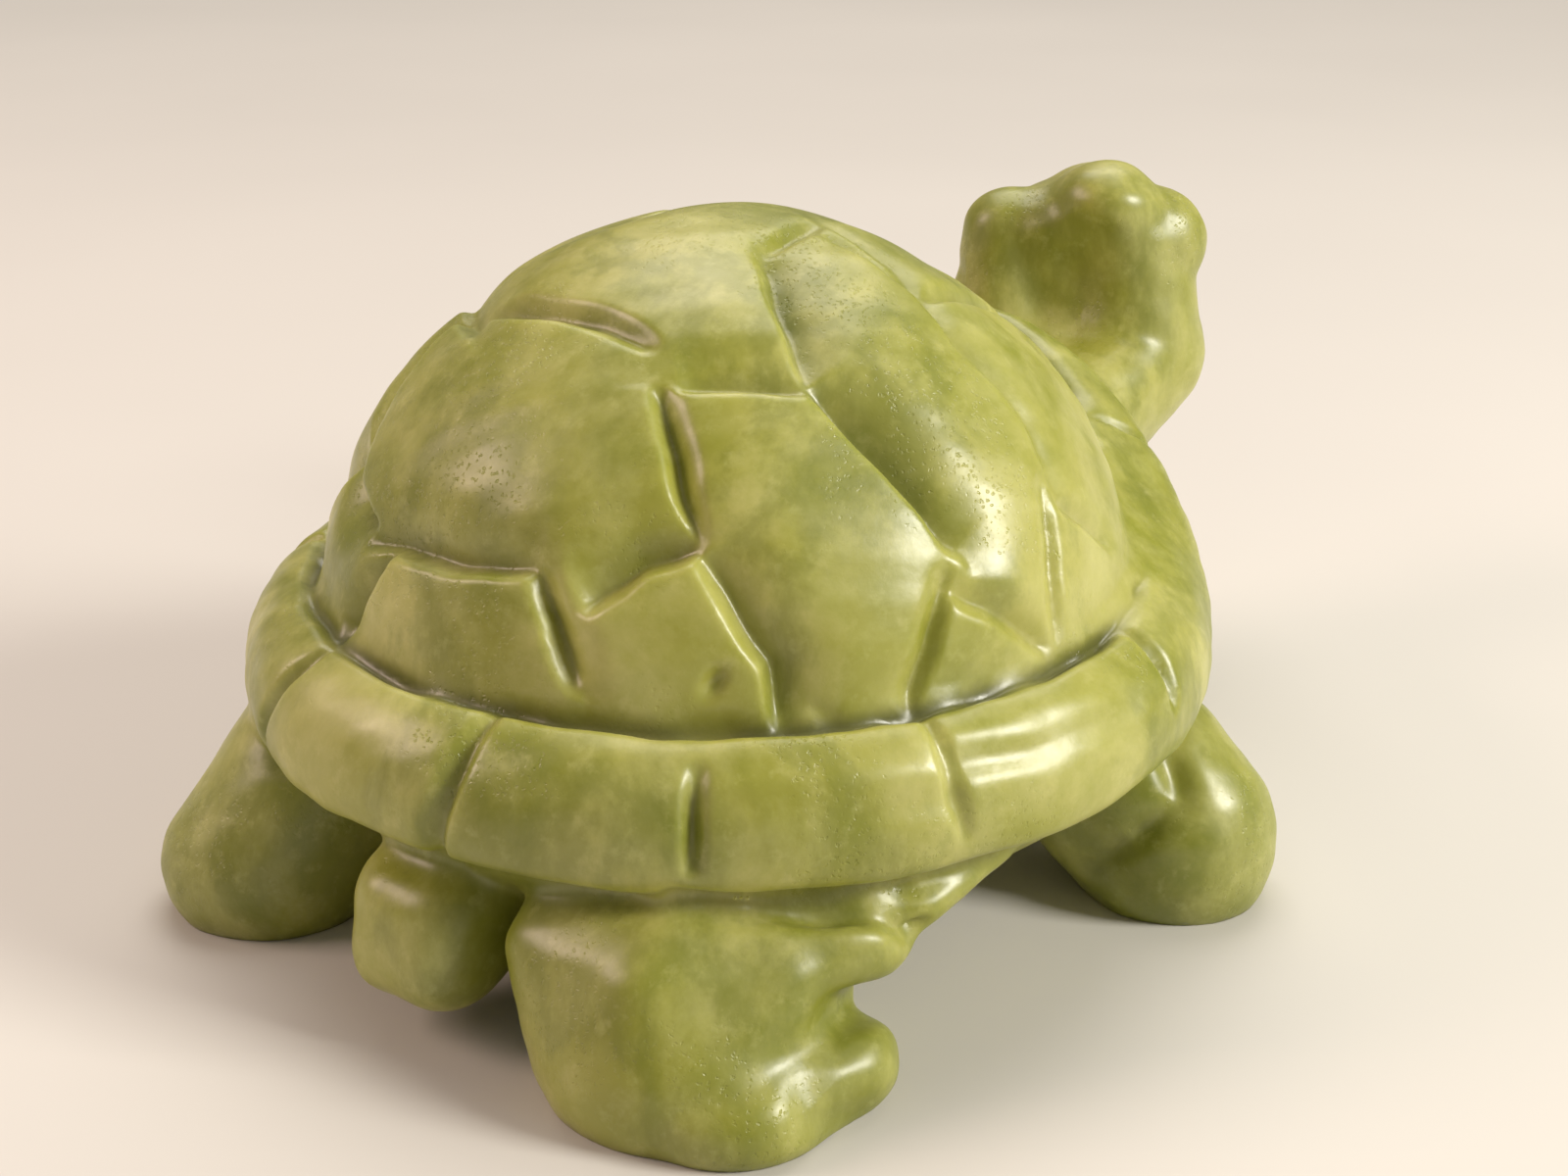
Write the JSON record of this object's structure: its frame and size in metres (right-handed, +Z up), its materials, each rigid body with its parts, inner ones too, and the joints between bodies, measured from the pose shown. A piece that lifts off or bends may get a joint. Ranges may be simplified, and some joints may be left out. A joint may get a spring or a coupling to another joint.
{
  "type": "carved turtle figurine",
  "caption": "Turtle carved from one block of polished green serpentine: domed shell with cut plates, raised head, stub tail and flat-soled legs.",
  "frame": {"origin": "on the surface that the feet stand on, under the middle of the carving's bounding box", "axes": "+X forwards along the shell to the head, +Y to the turtle's left, +Z up"},
  "size_m": [0.1504, 0.113, 0.0722],
  "materials": {
    "serpentine": "polished, slightly translucent"
  },
  "bodies": {
    "root": {"turtle_carving": "serpentine"}
  },
  "joints": []
}
